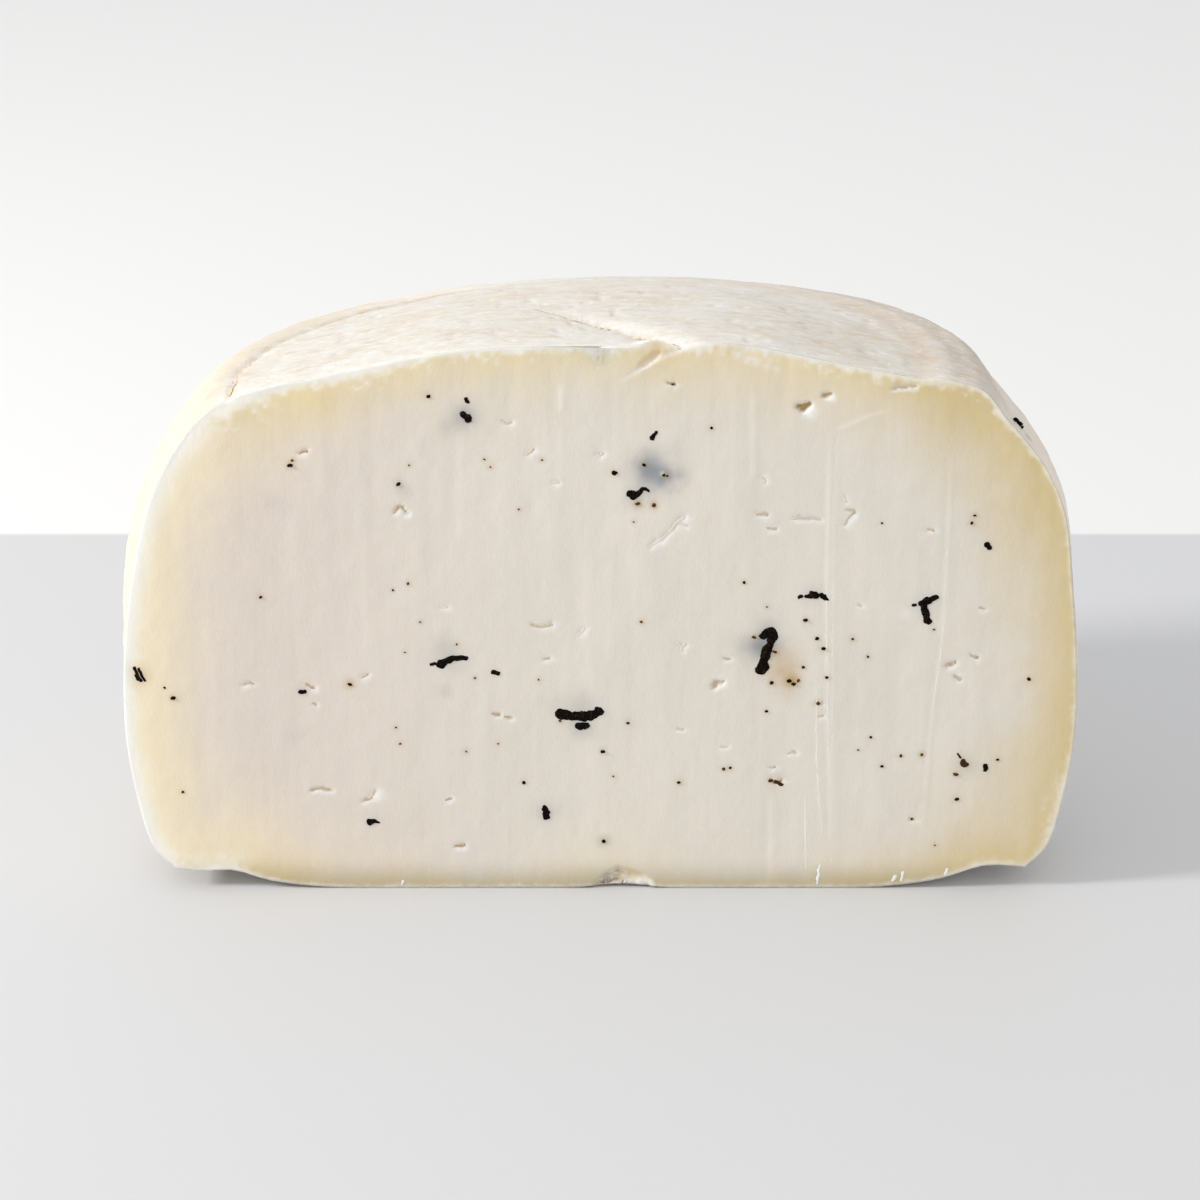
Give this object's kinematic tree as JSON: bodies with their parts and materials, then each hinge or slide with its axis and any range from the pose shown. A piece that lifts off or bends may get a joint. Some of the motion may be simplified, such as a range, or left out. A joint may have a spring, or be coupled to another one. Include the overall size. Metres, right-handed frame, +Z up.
{
  "type": "half cheese wheel",
  "caption": "Cut half of a domed cheese wheel with a thin pale rind, standing on its base; the flat cut face shows ivory paste with black truffle pieces and small eyes.",
  "frame": {"origin": "middle of the bounding box's underside, on the surface the cheese stands on", "axes": "+X along the cut face, to the right as it is looked at; +Y from the cut face into the cheese; +Z up"},
  "size_m": [0.1483, 0.0877, 0.0889],
  "materials": {
    "cheese": "satin",
    "rind": "matte",
    "truffle": "matte"
  },
  "bodies": {
    "root": {"half_wheel": "cheese"}
  },
  "joints": []
}
